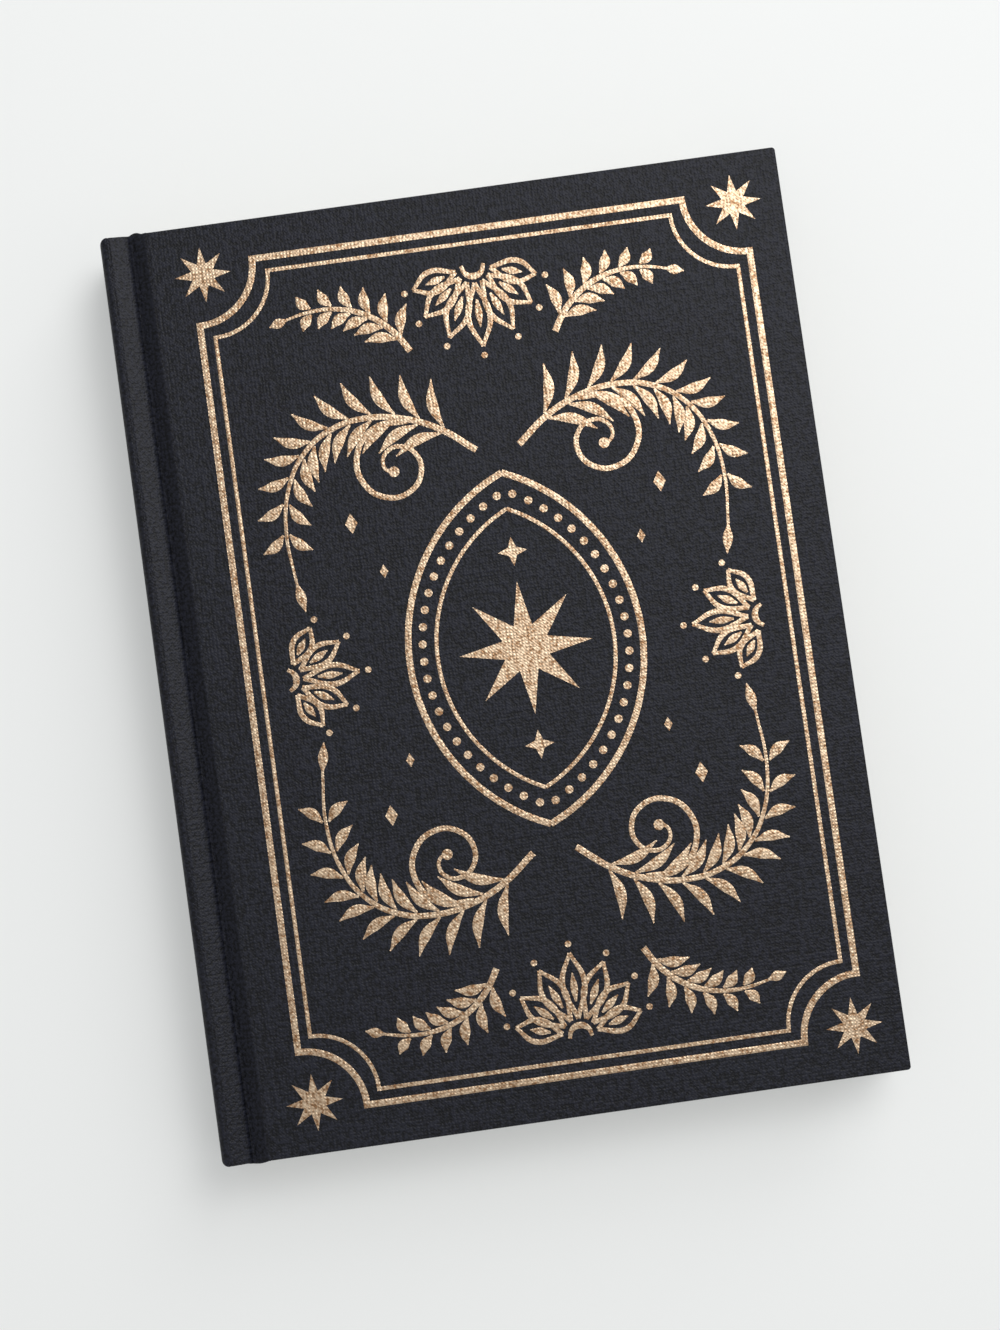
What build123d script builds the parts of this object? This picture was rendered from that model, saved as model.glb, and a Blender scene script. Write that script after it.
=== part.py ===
"""Case-bound address book: a cloth-covered case with a square back and French grooves,
holding sewn sections behind step-cut index tabs.

The book lies on its back cover. +X runs from the spine to the fore edge, +Y to the head,
+Z up through the front cover. The origin is under the middle of the book, on the table.
The text back hinges on two lines, one at each cover's inner face, so an opened case lies flat.
"""
import os

from build123d import *

# Case, in millimetres
cover_width = 159.0
cover_height = 216.0
board_thickness = 2.5
spine_board_thickness = 1.6
cloth_thickness = 0.35
turn_in_width = 15.0
mitre_gap = 0.3
cover_edge_radius = 0.5
cover_corner_radius = 0.8
spine_corner_radius = 1.8

# Joints between the covers and the spine
joint_width = 8.0
ridge_width = 5.7
ridge_drop = 0.8
groove_depth = 2.2
groove_wall_width = 1.3
groove_lip = 0.6
groove_radius = 0.9
groove_crease_radius = 0.4

# Spine linings and sewing
lining_thickness = 0.2
lining_margin = 3.0
mull_thickness = 0.35
mull_clearance = 1.0
mull_flap_width = 25.0
thread_diameter = 0.5
sewing_station_count = 5
sewing_end_margin = 18.0
stitch_spacing = 12.0
headband_radius = 0.9
headband_tape_length = 10.0
headband_tape_thickness = 0.3

# Endpapers and leaves
paper_thickness = 0.15
pastedown_margin = 3.5
square = 3.0
section_count = 12
section_thickness = 1.0
divider_thickness = 0.25
leaf_gap = 0.05
gutter_width = 7.0
fold_radius = 0.5
tab_depth = 6.0
tab_gap = 0.6
tab_corner_radius = 2.0
hinge_clearance = 0.1

# Heights through the closed book
cover_stack = cloth_thickness + board_thickness + cloth_thickness + paper_thickness
leaf_pitch = divider_thickness + section_thickness + leaf_gap
text_thickness = section_count * leaf_pitch + leaf_gap + 2 * (paper_thickness + leaf_gap)
book_thickness = 2 * cover_stack + text_thickness
z_back_face = cover_stack
z_front_face = book_thickness - cover_stack
z_front_turn_in = z_front_face + paper_thickness
z_front_board = z_front_turn_in + cloth_thickness
z_front_cloth = z_front_board + board_thickness
z_front_flyleaf = z_front_face - leaf_gap - paper_thickness
z_first_leaf_top = z_front_flyleaf - leaf_gap
middle_plane = Plane.XY.offset(book_thickness / 2)

# Positions from the spine to the fore edge
x_spine = -cover_width / 2
x_fore = cover_width / 2
x_spine_board = x_spine + cloth_thickness
x_hollow = x_spine_board + spine_board_thickness
x_lining = x_hollow + cloth_thickness
x_mull = x_lining + lining_thickness
x_thread = x_mull + mull_thickness
x_text_back = x_thread + thread_diameter
x_gutter = x_text_back + gutter_width
x_board = x_text_back + joint_width
x_tab = x_fore - square
x_leaf = x_tab - tab_depth

# Heights of the pieces along the spine
leaf_height = cover_height - 2 * square
pastedown_height = cover_height - 2 * pastedown_margin
mull_height = cover_height - 2 * (turn_in_width + mull_clearance)
tab_pitch = leaf_height / section_count


def slab(x_range, height, z_range):
    """A sheet or board between two x and two z positions, centred along the spine."""
    (x0, x1), (z0, z1) = x_range, z_range
    return Pos((x0 + x1) / 2, 0, (z0 + z1) / 2) * Box(x1 - x0, height, z1 - z0)


def to_back(shape):
    """The same piece on the back half of the book."""
    return mirror(shape, about=middle_plane)


def front_board():
    board_height = cover_height - 2 * cloth_thickness
    return slab((x_board, x_fore - cloth_thickness), board_height, (z_front_board, z_front_cloth))


def front_cloth():
    """Cloth over the outer face and three edges of the board, turned in on the inner face.

    At head and tail it also folds round the board's joint edge, under the joint cloth.
    """
    x_fold = x_board - cloth_thickness
    wrapped = slab((x_fold, x_fore), cover_height, (z_front_turn_in, book_thickness))
    corners = wrapped.edges().filter_by(Axis.Z).group_by(Axis.X)[-1]
    wrapped = fillet(corners, cover_corner_radius)
    outer_rim = wrapped.faces().sort_by(Axis.Z)[-1].outer_wire().edges()
    inner_rim = wrapped.faces().sort_by(Axis.Z)[0].outer_wire().edges()
    rims = [edge for edge in outer_rim + inner_rim if edge.center().X > x_board + cover_edge_radius]
    wrapped = fillet(rims, cover_edge_radius)
    window = slab(
        (x_board, x_fore - turn_in_width),
        cover_height - 2 * turn_in_width,
        (z_front_turn_in, z_front_board),
    )
    joint_edge = slab(
        (x_fold, x_board), cover_height - 2 * turn_in_width, (z_front_turn_in, book_thickness)
    )
    joint_cloth_room = slab(
        (x_fold, x_board), cover_height, (book_thickness - 2 * cloth_thickness, book_thickness)
    )
    return wrapped - front_board() - window - turn_in_mitres() - joint_edge - joint_cloth_room


def turn_in_mitres():
    """Open seams where the cloth's turn-ins meet at the two fore-edge corners, cut at 45 degrees."""
    reach = (turn_in_width - cover_corner_radius) * 2**0.5
    z_seam = z_front_turn_in + cloth_thickness / 2
    seam = Pos((reach - mitre_gap) / 2, 0, z_seam) * Box(reach + mitre_gap, mitre_gap, cloth_thickness)
    x_inner, y_inner = x_fore - turn_in_width, cover_height / 2 - turn_in_width
    head_seam = Pos(x_inner, y_inner, 0) * Rot(0, 0, 45) * seam
    return head_seam + mirror(head_seam, about=Plane.XZ)


def front_mull_flap():
    """Gauze flap that ties the sewn sections to the board, under the pastedown."""
    flap_range = (x_text_back + hinge_clearance, x_board + mull_flap_width)
    return slab(flap_range, mull_height, (z_front_turn_in, z_front_turn_in + mull_thickness))


def front_pastedown():
    """Endpaper half pasted inside the cover: it lies on the turn-ins and sinks to the board between them."""
    x_inner = x_text_back + hinge_clearance
    rim = slab((x_inner, x_fore - pastedown_margin), pastedown_height, (z_front_face, z_front_turn_in))
    tray_range = (x_board + mull_flap_width, x_fore - turn_in_width)
    tray_height = cover_height - 2 * turn_in_width
    tray = slab(tray_range, tray_height, (z_front_face, z_front_board))
    hollow_range = (tray_range[0] + paper_thickness, tray_range[1] - paper_thickness)
    hollow_height = tray_height - 2 * paper_thickness
    hollow = slab(hollow_range, hollow_height, (z_front_face, z_front_board - paper_thickness))
    return rim + tray - hollow


def front_joint_cloth():
    """Cloth pressed into the French groove between the spine's ridge and the board, turned in at its ends."""
    half_cloth = cloth_thickness / 2
    z_middle = book_thickness - half_cloth
    z_groove = z_middle - groove_depth
    x_ridge = x_spine + ridge_width
    path = FilletPolyline(
        (x_hollow, z_middle),
        (x_hollow + groove_lip, z_middle),
        (x_ridge, z_middle - ridge_drop),
        (x_ridge + groove_wall_width, z_groove),
        (x_board - groove_lip, z_middle),
        (x_board, z_middle),
        radius=(groove_radius, groove_radius, groove_crease_radius, groove_radius),
    )
    strip = Plane.XZ * trace(path.edges(), line_width=cloth_thickness)
    y_turn_in = (cover_height - turn_in_width) / 2
    turn_in = extrude(strip, amount=turn_in_width / 2, both=True)
    head_turn_in = Pos(0, y_turn_in, -cloth_thickness) * turn_in
    tail_turn_in = Pos(0, -y_turn_in, -cloth_thickness) * turn_in
    return extrude(strip, amount=cover_height / 2, both=True) + head_turn_in + tail_turn_in


def spine_block(inset, x_end, radius):
    """The spine's outline with its outer face rounded at the edges, set in by a wall."""
    block = slab((x_spine + inset, x_end), cover_height - 2 * inset, (inset, book_thickness - inset))
    return fillet(block.faces().sort_by(Axis.X)[0].edges(), radius)


def spine_board():
    return spine_block(cloth_thickness, x_hollow, spine_corner_radius - cloth_thickness)


def spine_cloth():
    """Cloth round the spine board, turned in behind it at head and tail."""
    outside = spine_block(0, x_hollow, spine_corner_radius)
    turn_in_z = (2 * cloth_thickness, book_thickness - 2 * cloth_thickness)
    turn_ins = slab((x_hollow, x_lining), cover_height, turn_in_z)
    turn_ins -= slab((x_hollow, x_lining), cover_height - 2 * turn_in_width, turn_in_z)
    return outside - spine_board() + turn_ins


def spine_lining():
    return slab((x_lining, x_mull), leaf_height - 2 * lining_margin, (z_back_face, z_front_face))


def spine_mull():
    return slab((x_mull, x_thread), mull_height, (z_back_face, z_front_face))


def fold_middle(index):
    """Height of the middle of a section's sewn fold, counted from the front."""
    return z_first_leaf_top - index * leaf_pitch - (divider_thickness + section_thickness) / 2


def sewn_folds():
    """The bound part of every section and flyleaf, up to the line where the leaves turn."""
    thickness = divider_thickness + section_thickness
    fold = slab((x_text_back, x_gutter), leaf_height, (-thickness / 2, thickness / 2))
    back_edges = fold.edges().filter_by(Axis.Y).group_by(Axis.X)[0]
    fold = fillet(back_edges, fold_radius)
    folds = [Pos(0, 0, fold_middle(index)) * fold for index in range(section_count)]
    root = slab((x_text_back, x_gutter), leaf_height, (z_front_flyleaf, z_front_flyleaf + paper_thickness))
    return Compound(folds + [root, to_back(root)])


def sewing_thread():
    """Link stitches down the back of the folds, in pairs at each sewing station."""
    z_low, z_high = fold_middle(section_count - 1), fold_middle(0)
    link = Cylinder(thread_diameter / 2, z_high - z_low)
    link = Pos(x_thread + thread_diameter / 2, 0, (z_low + z_high) / 2) * link
    end_station = leaf_height / 2 - sewing_end_margin - stitch_spacing / 2
    pitch = 2 * end_station / (sewing_station_count - 1)
    stations = [end_station - station * pitch for station in range(sewing_station_count)]
    sides = (-stitch_spacing / 2, stitch_spacing / 2)
    return Compound([Pos(0, y + side, 0) * link for y in stations for side in sides])


def head_band():
    """Woven bead over the head of the folds, on a tape glued to the text back."""
    z_low, z_high = z_back_face + leaf_gap, z_front_face - leaf_gap
    y_head = leaf_height / 2
    y_bead = y_head + hinge_clearance + headband_radius
    bead = Cylinder(headband_radius, z_high - z_low)
    bead = Pos(x_text_back + headband_radius / 2, y_bead, (z_low + z_high) / 2) * bead
    tape = Box(headband_tape_thickness, headband_tape_length, z_high - z_low)
    y_tape = y_bead - headband_tape_length / 2
    tape = Pos(x_text_back - headband_tape_thickness / 2, y_tape, (z_low + z_high) / 2) * tape
    return bead + tape


def section_leaves(index):
    """The free leaves of one section, as the stack that turns together."""
    z_top = z_first_leaf_top - index * leaf_pitch - divider_thickness
    return slab((x_gutter, x_leaf), leaf_height, (z_top - section_thickness, z_top))


def index_divider(index):
    """Card leaf in front of a section, with its tab stepped down the fore edge."""
    z_top = z_first_leaf_top - index * leaf_pitch
    card = Pos((x_gutter + x_leaf) / 2, 0) * Rectangle(x_leaf - x_gutter, leaf_height)
    y_tab = leaf_height / 2 - (index + 0.5) * tab_pitch
    tab = Rectangle(2 * tab_depth, tab_pitch - tab_gap)
    tab = fillet(tab.vertices().group_by(Axis.X)[-1], tab_corner_radius)
    outline = card + Pos(x_leaf, y_tab) * tab
    return extrude(Pos(0, 0, z_top - divider_thickness) * outline, amount=divider_thickness)


def front_flyleaf():
    return slab((x_gutter, x_tab), leaf_height, (z_front_flyleaf, z_front_flyleaf + paper_thickness))


def assembly():
    """Every piece of the book by name."""
    pieces = {
        "front_board": front_board(),
        "front_cloth": front_cloth(),
        "front_mull_flap": front_mull_flap(),
        "front_pastedown": front_pastedown(),
        "front_joint_cloth": front_joint_cloth(),
        "front_flyleaf": front_flyleaf(),
    }
    backs = {name.replace("front", "back"): to_back(shape) for name, shape in pieces.items()}
    pieces |= backs
    pieces |= {
        "spine_board": spine_board(),
        "spine_cloth": spine_cloth(),
        "spine_lining": spine_lining(),
        "spine_mull": spine_mull(),
        "sewing_thread": sewing_thread(),
        "sewn_folds": sewn_folds(),
        "head_band": head_band(),
        "tail_band": mirror(head_band(), about=Plane.XZ),
    }
    for index in range(section_count):
        pieces[f"section_{index + 1:02d}"] = section_leaves(index)
        pieces[f"index_divider_{index + 1:02d}"] = index_divider(index)
    return pieces


os.makedirs("parts", exist_ok=True)
for name, shape in assembly().items():
    export_step(shape, f"parts/{name}.step")
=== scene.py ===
import math
import random

import bmesh
import bpy
from mathutils import Matrix, Vector
from mathutils.geometry import interpolate_bezier


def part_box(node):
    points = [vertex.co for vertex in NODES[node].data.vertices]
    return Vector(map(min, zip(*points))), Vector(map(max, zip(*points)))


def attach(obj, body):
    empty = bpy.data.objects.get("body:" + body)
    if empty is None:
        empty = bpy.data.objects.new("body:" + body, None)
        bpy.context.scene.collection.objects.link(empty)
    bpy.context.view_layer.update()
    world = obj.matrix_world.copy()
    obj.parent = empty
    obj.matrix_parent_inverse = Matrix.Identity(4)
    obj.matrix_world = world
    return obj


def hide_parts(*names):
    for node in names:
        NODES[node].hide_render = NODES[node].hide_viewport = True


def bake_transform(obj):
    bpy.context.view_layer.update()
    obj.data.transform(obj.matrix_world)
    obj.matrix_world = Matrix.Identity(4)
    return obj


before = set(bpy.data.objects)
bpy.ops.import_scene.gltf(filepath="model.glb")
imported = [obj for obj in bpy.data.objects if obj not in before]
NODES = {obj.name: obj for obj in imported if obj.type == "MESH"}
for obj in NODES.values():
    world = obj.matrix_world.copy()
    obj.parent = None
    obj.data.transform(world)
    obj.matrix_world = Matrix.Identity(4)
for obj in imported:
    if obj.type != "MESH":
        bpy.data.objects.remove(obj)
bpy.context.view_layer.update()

# The closed book lies on its back cover: +X from the spine to the fore edge, +Y to the head, +Z up.
# All sizes are in metres, written as a count of millimetres.
MM = 0.001

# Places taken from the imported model
X_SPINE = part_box("spine_cloth")[0].x
X_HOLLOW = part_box("spine_board")[1].x
X_TEXT_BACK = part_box("sewn_folds")[0].x
X_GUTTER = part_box("section_01")[0].x
X_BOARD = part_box("front_board")[0].x
X_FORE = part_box("front_cloth")[1].x
X_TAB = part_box("index_divider_01")[1].x
X_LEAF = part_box("section_01")[1].x
Y_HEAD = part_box("front_cloth")[1].y
Y_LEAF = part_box("section_01")[1].y
Z_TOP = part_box("front_cloth")[1].z
SECTION_COUNT = sum(name.startswith("section_") for name in NODES)
TAB_PITCH = 2 * Y_LEAF / SECTION_COUNT


# Shader helpers


def linear(hex_colour):
    """A written sRGB colour as the linear RGBA that a socket takes."""
    levels = [int(hex_colour[i:i + 2], 16) / 255 for i in (1, 3, 5)]
    return [v / 12.92 if v <= 0.04045 else ((v + 0.055) / 1.055) ** 2.4 for v in levels] + [1.0]


def add_node(tree, kind, inputs=None, **settings):
    """One shader node: settings are its own values, inputs are socket values, or what is linked there."""
    made = tree.nodes.new("ShaderNode" + kind)
    for name, value in settings.items():
        setattr(made, name, value)
    for name, value in (inputs or {}).items():
        if isinstance(value, bpy.types.Node):
            value = next(socket for socket in value.outputs if socket.enabled)
        if isinstance(value, bpy.types.NodeSocket):
            tree.links.new(value, made.inputs[name])
        else:
            made.inputs[name].default_value = value
    return made


def start_material(name, coordinates, surface):
    """A material with its surface shader, and the coordinates that its pattern reads."""
    material = bpy.data.materials.new(name)
    material.use_nodes = True
    tree = material.node_tree
    tree.nodes.clear()
    shader = add_node(tree, "BsdfPrincipled", surface)
    add_node(tree, "OutputMaterial", {"Surface": shader})
    place = add_node(tree, "TexCoord").outputs[coordinates]
    return material, tree, shader, place


def tint(tree, shader, tone, span, colours):
    """Colours a surface from dark to light as its tone goes through a span."""
    share = add_node(tree, "MapRange", {"Value": tone, "From Min": span[0], "From Max": span[1]})
    ends = {"Factor": share, "A": linear(colours[0]), "B": linear(colours[1])}
    colour = add_node(tree, "Mix", ends, data_type="RGBA").outputs["Result"]
    tree.links.new(colour, shader.inputs["Base Color"])


# Weave drawn coarser than the cloth's real 0.45 mm threads, so that it shows at the picture's scale
THREAD_SPACING = 0.8 * MM
THREAD_WOBBLE = 0.8
THREAD_STREAK = 0.07
STREAK_SHARE = 0.2


def weave(tree, place):
    """Crowns of a plain weave, and the uneven tone of single threads, on every face of a piece."""
    threads = add_node(tree, "VectorMath", {0: place, 1: [1 / THREAD_SPACING] * 3}, operation="MULTIPLY")
    wobble = add_node(tree, "TexNoise", {"Vector": threads, "Scale": 0.35, "Detail": 1.0})
    shifts = {0: wobble.outputs["Color"], 1: [THREAD_WOBBLE] * 3, 2: threads}
    bent = add_node(tree, "VectorMath", shifts, operation="MULTIPLY_ADD")
    turns = add_node(tree, "VectorMath", {0: bent, 1: [2 * math.pi] * 3}, operation="MULTIPLY")
    waves = add_node(tree, "VectorMath", {0: turns}, operation="SINE")
    parts = add_node(tree, "SeparateXYZ", {"Vector": waves})
    crossed = add_node(tree, "CombineXYZ", {axis: parts.outputs[axis - 1] for axis in range(3)})
    crowns = add_node(tree, "VectorMath", {0: waves, 1: crossed}, operation="DOT_PRODUCT")
    tone = add_node(tree, "TexNoise", {"Vector": threads, "Scale": 1.0, "Detail": 2.0})
    for stretch in ((1, THREAD_STREAK, THREAD_STREAK), (THREAD_STREAK, 1, 1)):
        along_thread = add_node(tree, "VectorMath", {0: threads, 1: stretch}, operation="MULTIPLY")
        streaks = add_node(tree, "TexNoise", {"Vector": along_thread, "Scale": 1.0, "Detail": 2.0})
        tone = add_node(tree, "Math", {0: streaks, 1: STREAK_SHARE, 2: tone}, operation="MULTIPLY_ADD")
    evened = 1 / (1 + 2 * STREAK_SHARE)
    return crowns, add_node(tree, "Math", {0: tone, 1: evened}, operation="MULTIPLY")


# Share of the crowns in the cloth's tone, a painted highlight on the thread tops, and in its height,
# beside the uneven threads
CROWN_HIGHLIGHT = 0.02
CROWN_HEIGHT = 0.05
CLOTH_TONES = (0.42, 0.58)
CLOTH_RELIEF = 0.30 * MM


def book_cloth(name, coordinates):
    """Black starch-filled book cloth: matt, close plain weave, threads of slightly uneven dye, and a faint
    painted highlight on the thread crowns.
    """
    surface = {"Roughness": 0.5, "Specular IOR Level": 0.27}
    material, tree, shader, place = start_material(name, coordinates, surface)
    crowns, tone = weave(tree, place)
    # The crowns are painted a little lighter than the threads between them: a painted highlight.
    lit_crowns = add_node(tree, "Math", {0: crowns, 1: CROWN_HIGHLIGHT, 2: tone}, operation="MULTIPLY_ADD")
    tint(tree, shader, lit_crowns, CLOTH_TONES, ("#010208", "#191B26"))
    height = add_node(tree, "Math", {0: crowns, 1: CROWN_HEIGHT, 2: tone}, operation="MULTIPLY_ADD")
    relief = add_node(tree, "Bump", {"Height": height, "Strength": 0.9, "Distance": CLOTH_RELIEF})
    tree.links.new(relief.outputs["Normal"], shader.inputs["Normal"])
    return material


# Pits where the foil misses the cloth, drawn as coarse as the weave
FLECK_SIZE = 0.7 * MM
FLECK_TONES = (0.34, 0.62)
FOIL_CROWN_HEIGHT = 0.3
FOIL_RELIEF = 0.08 * MM


def copper_foil():
    """Copper-gold blocking foil: thin metal pressed on woven cloth, so the weave breaks its shine."""
    surface = {"Metallic": 0.85, "Roughness": 0.38}
    material, tree, shader, place = start_material("copper_gold_foil", "Object", surface)
    crowns, tone = weave(tree, place)
    flecks = add_node(tree, "TexNoise", {"Vector": place, "Scale": 1 / FLECK_SIZE, "Detail": 3.0})
    tint(tree, shader, flecks, FLECK_TONES, ("#8C6848", "#DAC2A5"))
    height = add_node(tree, "Math", {0: crowns, 1: FOIL_CROWN_HEIGHT, 2: tone}, operation="MULTIPLY_ADD")
    relief = add_node(tree, "Bump", {"Height": height, "Strength": 0.6, "Distance": FOIL_RELIEF})
    tree.links.new(relief.outputs["Normal"], shader.inputs["Normal"])
    return material


# Clouds and single fibres in paper, and the span of noise from its dark to its light tone
FIBRE_TONES = (0.35, 0.65)
CLOUD_SIZE = 2 * MM
FIBRE_SIZE = 0.4 * MM
FIBRE_RELIEF = 0.015 * MM


def paper(name, coordinates, colours):
    """Uncoated paper or board: matt, with a faint cloud of fibres about 2 mm across."""
    surface = {"Roughness": 0.85, "Specular IOR Level": 0.25}
    material, tree, shader, place = start_material(name, coordinates, surface)
    clouds = add_node(tree, "TexNoise", {"Vector": place, "Scale": 1 / CLOUD_SIZE, "Detail": 4.0})
    tint(tree, shader, clouds, FIBRE_TONES, colours)
    fibres = add_node(tree, "TexNoise", {"Vector": place, "Scale": 1 / FIBRE_SIZE, "Detail": 2.0})
    relief = add_node(tree, "Bump", {"Height": fibres, "Strength": 0.2, "Distance": FIBRE_RELIEF})
    tree.links.new(relief.outputs["Normal"], shader.inputs["Normal"])
    return material


# Printed rules on the pages
RULE_PITCH = 8 * MM
RULE_WIDTH = 0.35 * MM
PAGE_MARGIN = 9 * MM


def ruled_paper():
    """Ivory writing paper with printed rules 8 mm apart, inside a plain margin; bare on its cut edges."""
    material = paper("ruled_writing_paper", "UV", ("#F4F1E8", "#F8F5ED"))
    tree = material.node_tree
    shader = tree.nodes["Principled BSDF"]
    ground = shader.inputs["Base Color"].links[0].from_socket
    page = add_node(tree, "TexCoord").outputs["UV"]
    axes = add_node(tree, "SeparateXYZ", {"Vector": page})
    from_rule = add_node(tree, "Math", {0: axes.outputs["Y"], 1: RULE_PITCH / 2}, operation="PINGPONG")
    ink = add_node(tree, "Math", {0: from_rule, 1: RULE_WIDTH / 2}, operation="LESS_THAN")
    margins = {
        "X": ((X_GUTTER + X_LEAF) / 2, (X_LEAF - X_GUTTER) / 2 - PAGE_MARGIN),
        "Y": (0, Y_LEAF - PAGE_MARGIN),
    }
    for axis, (middle, reach) in margins.items():
        compared = {0: axes.outputs[axis], 1: middle, 2: reach}
        inside = add_node(tree, "Math", compared, operation="COMPARE")
        ink = add_node(tree, "Math", {0: ink, 1: inside}, operation="MULTIPLY")
    printed = {"Factor": ink, "A": ground, "B": linear("#9C9384")}
    mixed = add_node(tree, "Mix", printed, data_type="RGBA")
    tree.links.new(mixed.outputs["Result"], shader.inputs["Base Color"])
    return material


STRAND_SIZE = 0.5 * MM


def plain(name, colours, roughness):
    """A thread, gauze or ink with a fine uneven tone."""
    material, tree, shader, place = start_material(name, "Object", {"Roughness": roughness})
    tone = add_node(tree, "TexNoise", {"Vector": place, "Scale": 1 / STRAND_SIZE, "Detail": 2.0})
    tint(tree, shader, tone, FIBRE_TONES, colours)
    return material


MATERIALS = {
    "cloth": book_cloth("black_book_cloth", "Object"),
    "joint_cloth": book_cloth("black_book_cloth_in_the_joint", "UV"),
    "foil": copper_foil(),
    "greyboard": paper("greyboard", "Object", ("#7C776E", "#8F8A80")),
    "endpaper": paper("cream_endpaper", "Object", ("#F0EADD", "#F4EFE3")),
    "flyleaf": paper("cream_flyleaf", "UV", ("#F0EADD", "#F4EFE3")),
    "page": ruled_paper(),
    "card": paper("cream_tab_card", "UV", ("#EBE3D0", "#F0E9D9")),
    "mull": plain("cotton_mull", ("#BAB6AA", "#D9D4C6"), 0.9),
    "kraft": paper("kraft_lining", "Object", ("#8E6C48", "#A27F58")),
    "thread": plain("linen_thread", ("#C0BAAC", "#E0D9C8"), 0.7),
    "band_copper": plain("copper_silk_headband", ("#976D49", "#B07F55"), 0.45),
    "band_black": plain("black_silk_headband", ("#1E1F24", "#24252A"), 0.45),
    "ink": plain("black_printing_ink", ("#242425", "#2B2A2C"), 0.6),
}


# Mesh helpers

# Distances within which points are merged, and within which faces count as level
WELD = 0.001 * MM
SNAP = 0.01 * MM


def finish_piece(bm, name, *materials, smooth_angle=None):
    """A bmesh as an object at the origin, with its materials, and smooth below an angle."""
    mesh = bpy.data.meshes.new(name)
    bm.to_mesh(mesh)
    bm.free()
    if mesh.has_custom_normals:
        mesh.attributes.remove(mesh.attributes["custom_normal"])
    for material in materials:
        mesh.materials.append(MATERIALS[material])
    if smooth_angle is not None:
        mesh.shade_smooth()
        mesh.set_sharp_from_angle(angle=math.radians(smooth_angle))
    piece = bpy.data.objects.new(name, mesh)
    bpy.context.scene.collection.objects.link(piece)
    return piece


def solid_of(node):
    """A merged copy of a CAD node's mesh, with its flat faces whole."""
    bm = bmesh.new()
    bm.from_mesh(NODES[node].data)
    bmesh.ops.remove_doubles(bm, verts=bm.verts, dist=WELD)
    bmesh.ops.dissolve_limit(bm, angle_limit=math.radians(1), verts=bm.verts, edges=bm.edges)
    return bm


def cut_across(bm, positions):
    """Edge loops at these x positions, so that a sheet can bend there."""
    for x in positions:
        everything = [*bm.verts, *bm.edges, *bm.faces]
        bmesh.ops.bisect_plane(bm, geom=everything, plane_co=(x, 0, 0), plane_no=(1, 0, 0))


def spread(low, high, count):
    """Positions between two ends, without the ends."""
    return [low + (high - low) * i / (count + 1) for i in range(1, count + 1)]


def lay_flat_uv(bm):
    """UV map of a sheet in metres: its own place seen from above, and a blank spot for its cut edges."""
    layer = bm.loops.layers.uv.new("UVMap")
    for face in bm.faces:
        on_sheet = abs(face.normal.z) > 0.5
        for loop in face.loops:
            x, y, _ = loop.vert.co
            loop[layer].uv = (x, y) if on_sheet else (x, Y_HEAD)


# Case cloth over the joints

# The groove: points this near its bottom join in one crease, and its spine-side wall swells
CREASE_RISE = 0.09 * MM
X_WALL = X_SPINE + 6.6 * MM
WALL_SWELL = 0.3 * MM
WALL_REACH = 0.75 * MM
FOLD_ROUNDING = 0.18 * MM
# Bunched cloth at head and tail: its distance from the board, its reach and its rise
BUNCHES = {1: (3.1 * MM, 1.6 * MM, 0.6 * MM), -1: (3.0 * MM, 2.4 * MM, 0.4 * MM)}
# Edge loops cut across the cloth between the spine board and the board
JOINT_LOOPS = 26
# Angle in degrees above which the folded ends stay sharp
FOLD_ANGLE = 30


def sharpen_crease(bm, outward):
    """Draws the bottom of the groove together to one line, as a joint iron leaves it."""
    outside = {vert for face in bm.faces if face.normal.z * outward > 0.3 for vert in face.verts}
    for end in (-1, 1):
        rim = [vert for vert in bm.verts if vert in outside and vert.co.y * end > Y_HEAD - SNAP]
        deepest = min(rim, key=lambda vert: vert.co.z * outward).co.copy()
        crease = [vert for vert in rim if (vert.co.z - deepest.z) * outward < CREASE_RISE]
        bmesh.ops.pointmerge(bm, verts=crease, merge_co=deepest)


def swell_wall(bm, outward):
    """Rounds the ridge over into the groove, as cloth does over the spine's lining."""
    for vert in bm.verts:
        off = (vert.co.x - X_WALL) / WALL_REACH
        vert.co.z += outward * WALL_SWELL * max(0, 1 - off ** 2)


def round_folded_ends(bm):
    """Takes the sharp edge off the cloth where it is folded in at head and tail."""
    ends = [face for face in bm.faces if abs(face.calc_center_median().y) > Y_HEAD - SNAP]
    border = bmesh.ops.inset_region(bm, faces=ends, thickness=FOLD_ROUNDING, use_even_offset=True)
    rims = {vert for face in border["faces"] for vert in face.verts}
    for vert in rims - {vert for face in ends for vert in face.verts}:
        vert.co.y -= math.copysign(FOLD_ROUNDING, vert.co.y)


def bunch_folded_ends(bm):
    """Pushes the folded ends out a little in the groove, where the turned-in cloth bunches."""
    for end, (to_board, reach, rise) in BUNCHES.items():
        for vert in bm.verts:
            if vert.co.y * end > Y_HEAD - 2 * FOLD_ROUNDING:
                off = (vert.co.x - X_BOARD + to_board) / reach
                vert.co.y += end * rise * max(0, 1 - off ** 2)


def joint_strip(node, cover):
    """The cloth of one French groove, between the spine and a cover."""
    bm = solid_of(node)
    outward = 1 if cover == "front_cover" else -1
    sharpen_crease(bm, outward)
    cut_across(bm, spread(X_HOLLOW, X_BOARD, JOINT_LOOPS))
    swell_wall(bm, outward)
    round_folded_ends(bm)
    bunch_folded_ends(bm)
    layer = bm.loops.layers.uv.new("UVMap")
    for face in bm.faces:
        for loop in face.loops:
            loop[layer].uv = loop.vert.co.xy
    strip = finish_piece(bm, f"{cover}_joint", "joint_cloth", smooth_angle=FOLD_ANGLE)
    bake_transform(strip)
    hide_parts(node)


# Leaves

LEAVES_IN_SECTION = 8
LEAF_SHARE = 0.86
CUT_SCATTER = 0.12 * MM
GUTTER_LOOPS = 9


def bend_at_gutter(piece):
    """Moves the piece's placement into its mesh."""
    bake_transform(piece)


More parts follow.
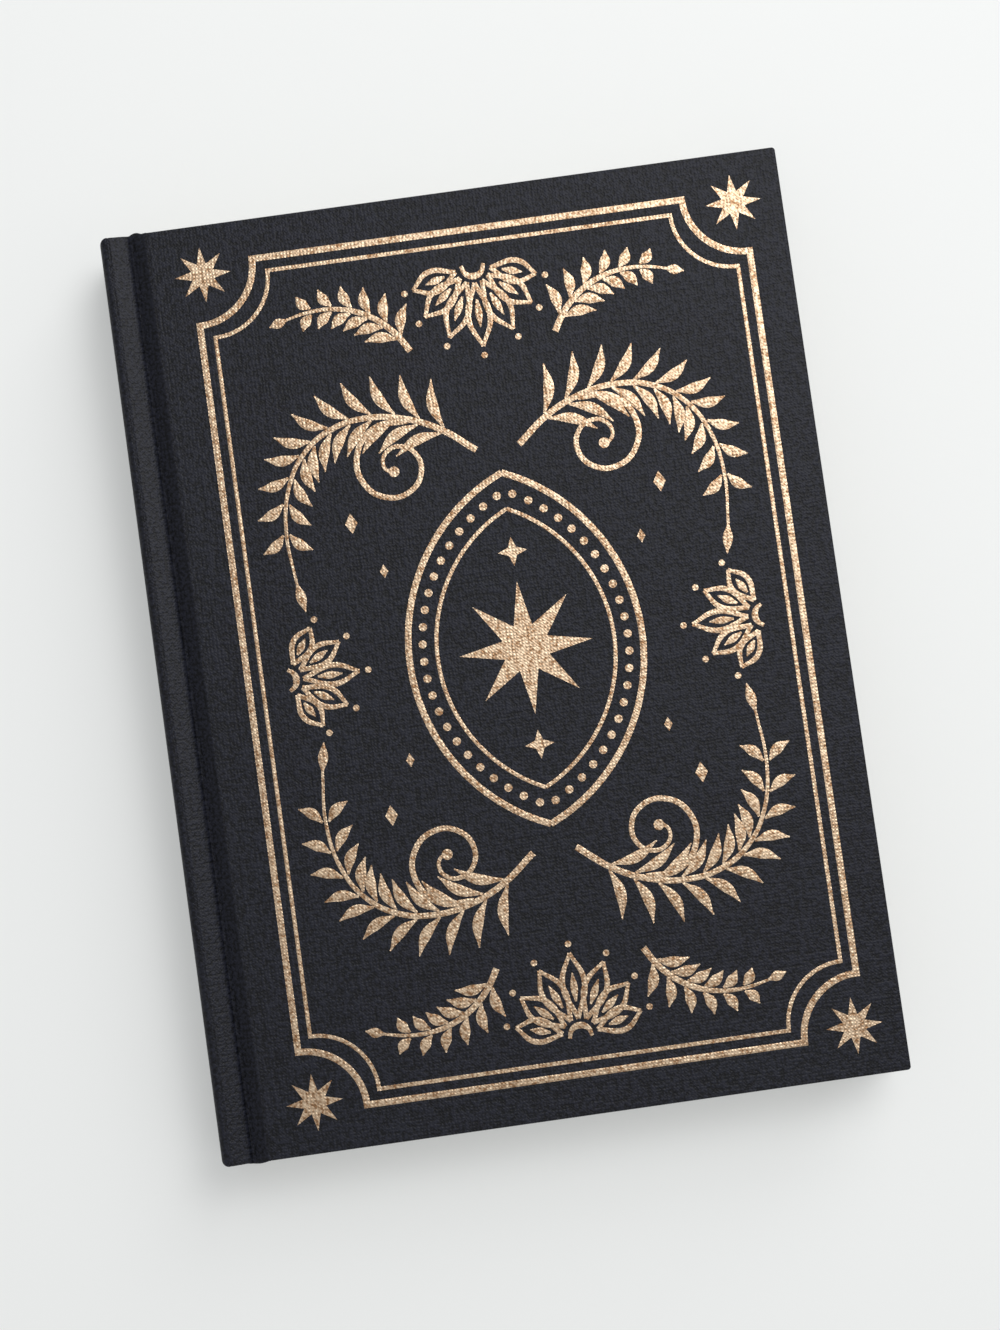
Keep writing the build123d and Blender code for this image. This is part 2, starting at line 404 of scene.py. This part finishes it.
def section_of_leaves(number):
    """One sewn section as its separate leaves, cut a hair unevenly at the edges."""
    node = f"section_{number:02d}"
    low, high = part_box(node)
    pitch = (high.z - low.z) / LEAVES_IN_SECTION
    scatter = random.Random(number)
    bm = bmesh.new()
    for leaf in range(LEAVES_IN_SECTION):
        fore = high.x + scatter.uniform(-CUT_SCATTER, 0)
        head = high.y + scatter.uniform(-CUT_SCATTER, 0)
        tail = low.y + scatter.uniform(0, CUT_SCATTER)
        size = Vector((fore - X_TEXT_BACK, head - tail, pitch * LEAF_SHARE))
        middle = Vector(((fore + X_TEXT_BACK) / 2, (head + tail) / 2, low.z + (leaf + 0.5) * pitch))
        place = Matrix.Translation(middle) @ Matrix.Diagonal((*size, 1))
        bmesh.ops.create_cube(bm, size=1, matrix=place)
    cut_across(bm, spread(X_TEXT_BACK, X_GUTTER, GUTTER_LOOPS) + [X_GUTTER])
    lay_flat_uv(bm)
    piece = finish_piece(bm, f"leaves_of_{node}", "page")
    bend_at_gutter(piece)
    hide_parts(node)
    return piece


def sheet_to_back(node, name, material):
    """A card or paper leaf with its CAD outline, carried on to the fold at the text back."""
    bm = solid_of(node)
    facing_back = [face for face in bm.faces if face.normal.x < -0.9]
    root = [face for face in facing_back if abs(face.calc_center_median().x - X_GUTTER) < SNAP]
    grown = bmesh.ops.extrude_face_region(bm, geom=root)
    moved = [item for item in grown["geom"] if isinstance(item, bmesh.types.BMVert)]
    bmesh.ops.translate(bm, verts=moved, vec=(X_TEXT_BACK - X_GUTTER, 0, 0))
    bmesh.ops.delete(bm, geom=[face for face in root if face.is_valid], context="FACES_ONLY")
    cut_across(bm, spread(X_TEXT_BACK, X_GUTTER, GUTTER_LOOPS))
    lay_flat_uv(bm)
    piece = finish_piece(bm, name, material)
    bend_at_gutter(piece)
    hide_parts(node)


TAB_LETTERS = ("AB", "CD", "EF", "GH", "IJ", "KL", "MN", "OP", "QR", "ST", "UV", "WZ")
LETTER_HEIGHT = 4.2 * MM
INK_THICKNESS = 0.02 * MM


def tab_letters(number):
    """The index letters printed on one tab."""
    text = bpy.data.curves.new(f"tab_text_{number:02d}", "FONT")
    text.body = TAB_LETTERS[number - 1]
    text.size = LETTER_HEIGHT
    text.align_x, text.align_y = "CENTER", "CENTER"
    text.extrude = INK_THICKNESS
    text.resolution_u = 4
    holder = bpy.data.objects.new(f"tab_text_{number:02d}", text)
    bm = bmesh.new()
    bm.from_mesh(bpy.data.meshes.new_from_object(holder))
    bpy.data.objects.remove(holder)
    y_tab = Y_LEAF - (number - 0.5) * TAB_PITCH
    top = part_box(f"index_divider_{number:02d}")[1].z
    bmesh.ops.translate(bm, verts=bm.verts, vec=((X_LEAF + X_TAB) / 2, y_tab, top))
    letters = finish_piece(bm, f"tab_letters_{number:02d}", "ink")
    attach(letters, f"leaves_{number:02d}")


# Head and tail bands

BAND_WRAPS = 20
WRAP_LOOPS = 4
BAND_SIDES = 20
# Radius between two wraps, as a share of the full one
WRAP_WAIST = 0.86


def wrap_radius(step):
    """Share of the bead's radius at a step along it: full on a wrap, drawn in between two."""
    return WRAP_WAIST + (1 - WRAP_WAIST) * math.sin(math.pi * (step % WRAP_LOOPS) / WRAP_LOOPS)


def woven_band(node):
    """A silk bead wound in two colours over its core, on the tape behind the folds."""
    low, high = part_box(node)
    end = 1 if low.y > 0 else -1
    radius = (high.x - low.x) / 2
    centre_y = (high.y if end > 0 else low.y) - end * radius
    wrap = (high.z - low.z) / BAND_WRAPS
    bm = bmesh.new()
    start = Matrix.Translation((low.x + radius, centre_y, low.z))
    axis = Matrix.Translation((-low.x - radius, -centre_y, 0))
    waist = radius * WRAP_WAIST
    bmesh.ops.create_circle(bm, cap_ends=True, segments=BAND_SIDES, radius=waist, matrix=start)
    edges = bm.edges[:]
    for step in range(1, BAND_WRAPS * WRAP_LOOPS + 1):
        before = set(bm.faces)
        grown = bmesh.ops.extrude_edge_only(bm, edges=edges)["geom"]
        verts = [item for item in grown if isinstance(item, bmesh.types.BMVert)]
        edges = [item for item in grown if isinstance(item, bmesh.types.BMEdge)]
        growth = wrap_radius(step) / wrap_radius(step - 1)
        bmesh.ops.translate(bm, verts=verts, vec=(0, 0, wrap / WRAP_LOOPS))
        bmesh.ops.scale(bm, verts=verts, vec=(growth, growth, 1), space=axis)
        for face in set(bm.faces) - before:
            face.material_index = (step - 1) // WRAP_LOOPS % 2
    bmesh.ops.contextual_create(bm, geom=edges)
    bmesh.ops.recalc_face_normals(bm, faces=bm.faces)
    band = finish_piece(bm, f"woven_{node}", "band_copper", "band_black", smooth_angle=60)
    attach(band, "spine")
    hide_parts(node)


# Foil ornament on the front cover

# Its points and widths are in millimetres, from the middle of the front board's face
FACE_MIDDLE = Vector(((X_BOARD + X_FORE) / 2, 0, Z_TOP))
FOIL_RISE = 0.04
STROKE_STEP = 0.1
LINE = 1.5
FINE_LINE = 0.9
DOT_SIDES = 14
QUARTERS = [(1, 1), (-1, 1), (-1, -1), (1, -1)]


class Ornament:
    """Collects tapered lines as splines of one curve, and dots, stars and lozenges in one bmesh."""

    def __init__(self):
        self.lines = bpy.data.curves.new("foil_lines", "CURVE")
        self.lines.dimensions = "3D"
        self.lines.bevel_depth = 1.0
        self.lines.bevel_resolution = 1
        self.lines.resolution_u = 6
        self.lines.use_fill_caps = True
        self.shapes = bmesh.new()

    def line(self, points, widths, level=0):
        """A smooth line through points, as wide as widths say along it; crossing lines differ in level."""
        spline = self.lines.splines.new("BEZIER")
        spline.bezier_points.add(len(points) - 1)
        spline.radius_interpolation = "CARDINAL"
        for index, (point, knot) in enumerate(zip(points, spline.bezier_points)):
            place = index / max(len(points) - 1, 1) * (len(widths) - 1)
            before = min(int(place), len(widths) - 1)
            after = min(before + 1, len(widths) - 1)
            width = widths[before] + (widths[after] - widths[before]) * (place - before)
            knot.co = (point[0], point[1], level * STROKE_STEP)
            knot.handle_left_type = knot.handle_right_type = "AUTO"
            knot.radius = width / 2

    def polygon(self, centre, radius, corners, waist=1.0):
        """A dot, lozenge or star: every second corner is drawn in to the waist."""
        place = Matrix.Translation((*centre, 0))
        to_middle = Matrix.Translation((-centre[0], -centre[1], 0))
        rim = bmesh.ops.create_circle(
            self.shapes, cap_ends=True, segments=corners, radius=radius, matrix=place
        )["verts"]
        bmesh.ops.scale(self.shapes, verts=rim[1::2], vec=(waist, waist, 1), space=to_middle)
        grown = bmesh.ops.extrude_face_region(self.shapes, geom=rim[0].link_faces[:])
        verts = [item for item in grown["geom"] if isinstance(item, bmesh.types.BMVert)]
        bmesh.ops.translate(self.shapes, verts=verts, vec=(0, 0, 1))

    def dot(self, centre, radius):
        self.polygon(centre, radius, DOT_SIDES)

    def star(self, centre, radius, points, waist):
        self.polygon(centre, radius, 2 * points, waist)


CURVE_STEPS = 64


def along(points, share):
    """Place and heading on a curve given by its two ends and two handles."""
    samples = interpolate_bezier(*[Vector((*point, 0)) for point in points], CURVE_STEPS + 1)
    index = min(max(int(share * CURVE_STEPS), 0), CURVE_STEPS - 1)
    heading = (samples[index + 1] - samples[index]).normalized()
    return samples[index].xy, heading.xy


def leaflet(ornament, base, heading, length, width, curl, level):
    """A solid leaflet, narrow at both ends and slightly bowed."""
    side = Vector((-heading.y, heading.x))
    tip = base + heading * length
    middle = base + heading * length * 0.5 + side * length * curl
    ornament.line([base, middle, tip], [0.5, width, 0.25], level)


def turned(vector, angle):
    """A direction in the plane of the cover, turned by an angle."""
    return Matrix.Rotation(angle, 2) @ vector


# Bare foot and leafy share of a fern's stem, and its leaflets
STEM_FOOT = 0.12
STEM_IN_LEAF = 0.84
STEM_STEPS = 8
LEAFLET_ANGLE = 0.9
LEAFLET_GAP = 0.9
LEAFLET_WIDTH = 2.5
LEAFLET_CURL = 0.10
LEAFLET_SHORTENING = 0.55
END_LEAFLET_SHARE = 0.55
END_LEAFLET_WIDTH = 2.3


def fern(ornament, stem, pairs, longest):
    """A curved stem with leaflets in pairs that shorten to its tip."""
    path = [along(stem, step / STEM_STEPS)[0] for step in range(STEM_STEPS + 1)]
    ornament.line(path, [LINE, LINE * 0.85, 0.6])
    for pair in range(pairs):
        share = STEM_FOOT + STEM_IN_LEAF * pair / pairs
        place, heading = along(stem, share)
        length = longest * (1 - LEAFLET_SHORTENING * share)
        for sign in (1, -1):
            way = turned(heading, sign * LEAFLET_ANGLE)
            foot = place + way * LEAFLET_GAP
            leaflet(ornament, foot, way, length, LEAFLET_WIDTH, -LEAFLET_CURL * sign, 2 + sign)
    tip, heading = along(stem, 1.0)
    leaflet(ornament, tip, heading, longest * END_LEAFLET_SHARE, END_LEAFLET_WIDTH, 0, 2)


# Share of its radius that a tendril loses on its way in
CURL_IN = 0.86
KNOTS_A_TURN = 8
TENDRIL_WIDTHS = (1.4, 1.2, 0.7)
TENDRIL_DOT = 1.25


def tendril(ornament, start, centre, turns, sign):
    """A line that leaves a stem and curls up to a dot."""
    arm = Vector(start) - Vector(centre)
    steps = int(turns * KNOTS_A_TURN)
    points = []
    for step in range(steps + 1):
        share = step / steps
        angle = sign * turns * 2 * math.pi * share
        points.append(Vector(centre) + turned(arm, angle) * (1 - CURL_IN * share))
    ornament.line(points, TENDRIL_WIDTHS, 4)
    ornament.dot(points[-1], TENDRIL_DOT)


# Petals start this far from the foot of a palmette; the outermost are shorter by a share
PETAL_ROOT = 4.2
PETAL_SHORTENING = 0.28
# Shares of a petal: where it is widest and how far it bulges, and the start and length of its drop
PETAL_WIDEST = 0.55
PETAL_BULGE = 0.17
DROP_START = 0.26
DROP_LENGTH = 0.44
DROP_WIDTH = 1.7
# Dot beyond each petal, and the arc at the foot
PETAL_DOT_GAP = 2.1
PETAL_DOT = 0.75
FOOT_ARC_RADIUS = 2.6
FOOT_ARC_SHARE = 0.62
FOOT_ARC_STEPS = 4


def palmette(ornament, base, heading, petals, length, fan):
    """A fan of outlined petals with a solid drop in each, on a small arc."""
    base, heading = Vector(base), Vector(heading)
    for petal in range(petals):
        angle = fan * (petal / (petals - 1) - 0.5)
        way = turned(heading, angle)
        side = Vector((-way.y, way.x))
        reach = length * (1 - PETAL_SHORTENING * abs(angle) / (fan / 2))
        root = base + way * PETAL_ROOT
        tip = base + way * (PETAL_ROOT + reach)
        for sign in (1, -1):
            bulge = root + way * reach * PETAL_WIDEST + side * sign * length * PETAL_BULGE
            ornament.line([root, bulge, tip], [1.0, 1.25, 0.8], 2 * (petal % 2) + (sign > 0))
        leaflet(ornament, root + way * reach * DROP_START, way, reach * DROP_LENGTH, DROP_WIDTH, 0, 4)
        ornament.dot(tip + way * PETAL_DOT_GAP, PETAL_DOT)
    arc = []
    for step in range(FOOT_ARC_STEPS + 1):
        angle = fan * FOOT_ARC_SHARE * (step / FOOT_ARC_STEPS - 0.5) * 2
        arc.append(base + turned(heading, angle) * FOOT_ARC_RADIUS)
    ornament.line(arc, [0.8, LINE, 0.8], 4)


# Half width and half height of the two frames, and their notches
OUTER_FRAME = (64.5, 98.5)
INNER_FRAME = (61.3, 95.3)
NOTCH = 14
NOTCH_KNOTS = 7
NOTCH_OVERRUN = 0.02


def notched_frame(ornament, half_width, half_height, notch, width):
    """A rule round the cover whose corners are drawn in as quarter circles."""
    for sx, sy in QUARTERS:
        corner = Vector((sx * half_width, sy * half_height))
        start = corner - Vector((sx * notch, 0))
        end = corner - Vector((0, sy * notch))
        quarter = []
        for angle in spread(-NOTCH_OVERRUN, math.pi / 2 + NOTCH_OVERRUN, NOTCH_KNOTS):
            inward = Vector((sx * notch * math.cos(angle), sy * notch * math.sin(angle)))
            quarter.append(corner - inward)
        ornament.line([start, *quarter, end], [width])
    for sign in (1, -1):
        rise = half_height - notch + width / 2
        run = half_width - notch + width / 2
        ornament.line([(sign * half_width, -rise), (sign * half_width, rise)], [width], 1)
        ornament.line([(-run, sign * half_height), (run, sign * half_height)], [width], 1)


def pointed_oval(half_width, half_height, side, share):
    """A place on one of the two arcs of a pointed oval, from its top to its bottom."""
    radius = (half_width ** 2 + half_height ** 2) / (2 * half_width)
    angle = math.asin(half_height / radius) * (1 - 2 * share)
    return Vector((side * (radius * math.cos(angle) - radius + half_width), radius * math.sin(angle)))


# Half width and half height of the medallion's ovals
OUTER_OVAL = (27, 41)
INNER_OVAL = (20.5, 32.5)
BEAD_OVAL = (23.7, 36.6)
BEADS_A_SIDE = 23
BEAD_RADIUS = 0.95
OVAL_STEPS = 20


def medallion(ornament):
    """Two pointed ovals with a row of beads between, round an eight-point star."""
    for side in (1, -1):
        for oval, width in ((OUTER_OVAL, LINE), (INNER_OVAL, FINE_LINE)):
            arc = [pointed_oval(*oval, side, step / OVAL_STEPS) for step in range(OVAL_STEPS + 1)]
            ornament.line(arc, [width], side > 0)
        for bead in range(BEADS_A_SIDE):
            ornament.dot(pointed_oval(*BEAD_OVAL, side, (bead + 0.5) / BEADS_A_SIDE), BEAD_RADIUS)
        ornament.star((0, side * 22.5), 3.4, 4, 0.4)
    ornament.star((0, 0), 15.5, 8, 0.36)


def quarter_ornament(ornament, sx, sy):
    """Corner star, two ferns, a tendril and two lozenges of one quarter of the cover."""

    def at(x, y):
        return (sx * x, sy * y)

    ornament.star(at(62.3, 96.3), 6.5, 8, 0.42)
    fern(ornament, [at(5, 47), at(24, 66), at(58, 62), at(50, 20)], 11, 12.5)
    fern(ornament, [at(17, 72), at(22, 82), at(32, 87), at(45, 83)], 6, 8.0)
    tendril(ornament, at(20, 56), at(24, 46), 1.5, -sx * sy)
    ornament.polygon(at(36, 34), 2.4, 4, 0.6)
    ornament.polygon(at(30, 22), 1.6, 4, 0.6)


def foil_ornament():
    """The whole design as one thin piece on the front cover."""
    ornament = Ornament()
    notched_frame(ornament, *OUTER_FRAME, NOTCH, LINE)
    notched_frame(ornament, *INNER_FRAME, NOTCH, FINE_LINE)
    medallion(ornament)
    for sx, sy in QUARTERS:
        quarter_ornament(ornament, sx, sy)
    for sign in (1, -1):
        palmette(ornament, (0, sign * 90), (0, -sign), 7, 15, 2.6)
        palmette(ornament, (sign * 56, 0), (-sign, 0), 5, 13, 2.0)
    holder = bpy.data.objects.new("foil_lines", ornament.lines)
    drawn = bpy.data.meshes.new_from_object(holder)
    bpy.data.objects.remove(holder)
    bm = ornament.shapes
    bm.from_mesh(drawn)
    for face in bm.faces:
        face.smooth = False
    flat = Matrix.Diagonal((MM, MM, FOIL_RISE * MM, 1))
    bmesh.ops.transform(bm, matrix=Matrix.Translation(FACE_MIDDLE) @ flat, verts=bm.verts)
    bmesh.ops.recalc_face_normals(bm, faces=bm.faces)
    foil = finish_piece(bm, "foil_ornament", "foil")
    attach(foil, "front_cover")


# Stage

# Part of the table's brightness is its own, for the camera and reflections, so that shadows stay light
TABLE_GLOW = 0.34
TABLE_REACH = 8.0


def floor():
    """A wide pale table."""
    bm = bmesh.new()
    bmesh.ops.create_grid(bm, x_segments=1, y_segments=1, size=TABLE_REACH)
    mesh = bpy.data.meshes.new("pale_table")
    bm.to_mesh(mesh)
    bm.free()
    surface = {
        "Roughness": 0.9,
        "Specular IOR Level": 0.1,
        "Base Color": linear("#C9CAC9"),
        "Emission Color": linear("#F2F4F3"),
    }
    material, tree, shader, _ = start_material("pale_table_top", "Object", surface)
    rays = add_node(tree, "LightPath").outputs
    seen = rays["Is Camera Ray"]
    for kind in ("Is Glossy Ray", "Is Transmission Ray"):
        seen = add_node(tree, "Math", {0: seen, 1: rays[kind]}, operation="ADD")
    glow = add_node(tree, "Math", {0: seen, 1: TABLE_GLOW}, operation="MULTIPLY")
    tree.links.new(glow.outputs["Value"], shader.inputs["Emission Strength"])
    mesh.materials.append(material)
    table = bpy.data.objects.new("pale_table", mesh)
    bpy.context.scene.collection.objects.link(table)


# Lamps: azimuth and elevation in degrees, distance and size in metres, power in watts
LAMPS = {"high_window": (46, 65, 1.1, 0.5, 4.6), "side_window": (55, 30, 1.6, 1.0, 8.0)}
SKY_STRENGTH = 0.51


def lights():
    """A high soft window up and to the right, a wide low one beside it, and an even sky."""
    world = bpy.data.worlds.new("soft_sky")
    world.use_nodes = True
    sky = world.node_tree.nodes["Background"]
    sky.inputs["Color"].default_value = linear("#FDFEFF")
    sky.inputs["Strength"].default_value = SKY_STRENGTH
    bpy.context.scene.world = world
    for name, (azimuth, elevation, distance, size, power) in LAMPS.items():
        lamp = bpy.data.lights.new(name, "AREA")
        lamp.size = size
        lamp.energy = power
        window = bpy.data.objects.new(name, lamp)
        swing = Matrix.Rotation(math.radians(azimuth), 3, "Z")
        lift = Matrix.Rotation(math.radians(-elevation), 3, "Y")
        way = swing @ lift @ Vector((1, 0, 0))
        window.location = way * distance
        window.rotation_euler = way.to_track_quat("Z", "Y").to_euler()
        bpy.context.scene.collection.objects.link(window)


# Camera fitted to the cover's four corners in the 1000 x 1330 photograph
CAMERA_TARGET = Vector((-0.84, -3.16, 22.75)) * MM
CAMERA_DISTANCE = 600 * MM
CAMERA_TILT = math.radians(3.38)
CAMERA_TILT_AZIMUTH = math.radians(-105.6)
CAMERA_ROLL = math.radians(8.0)
FOCAL_PIXELS = 2603.1
IMAGE_WIDTH = 1000
SENSOR_WIDTH = 36


def camera():
    """Looks down on the front cover, tilted a little from the tail side and turned on its axis."""
    lens = bpy.data.cameras.new("camera")
    lens.sensor_fit = "HORIZONTAL"
    lens.sensor_width = SENSOR_WIDTH
    lens.lens = SENSOR_WIDTH * FOCAL_PIXELS / IMAGE_WIDTH
    lens.clip_start = 0.01
    eye = bpy.data.objects.new("camera", lens)
    tilt = math.sin(CAMERA_TILT)
    x_back = tilt * math.cos(CAMERA_TILT_AZIMUTH)
    y_back = tilt * math.sin(CAMERA_TILT_AZIMUTH)
    back = Vector((x_back, y_back, math.cos(CAMERA_TILT)))
    page_up = Vector((math.sin(CAMERA_ROLL), math.cos(CAMERA_ROLL), 0))
    right = page_up.cross(back).normalized()
    up = back.cross(right)
    turn = Matrix((right, up, back)).transposed().to_4x4()
    eye.matrix_world = Matrix.Translation(CAMERA_TARGET + back * CAMERA_DISTANCE) @ turn
    bpy.context.scene.collection.objects.link(eye)
    bpy.context.scene.camera = eye


# The whole book


def dress_cad_nodes():
    """Finishes for the CAD pieces that stay in view."""
    finishes = {
        "cloth": ("front_cloth", "back_cloth", "spine_cloth"),
        "greyboard": ("front_board", "back_board", "spine_board"),
        "endpaper": ("front_pastedown", "back_pastedown"),
        "mull": ("front_mull_flap", "back_mull_flap", "spine_mull"),
        "kraft": ("spine_lining",),
        "thread": ("sewing_thread",),
    }
    for finish, names in finishes.items():
        for name in names:
            NODES[name].data.materials.clear()
            NODES[name].data.materials.append(MATERIALS[finish])


dress_cad_nodes()
joint_strip("front_joint_cloth", "front_cover")
joint_strip("back_joint_cloth", "back_cover")
for number in range(1, SECTION_COUNT + 1):
    leaves = section_of_leaves(number)
    if number == 1:
        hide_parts("sewn_folds")
    sheet_to_back(f"index_divider_{number:02d}", f"divider_card_{number:02d}", "card")
    tab_letters(number)
for end in ("front", "back"):
    sheet_to_back(f"{end}_flyleaf", f"{end}_free_endpaper", "flyleaf")
woven_band("head_band")
woven_band("tail_band")
foil_ornament()
floor()
lights()
camera()
bpy.context.scene.view_settings.view_transform = "Standard"
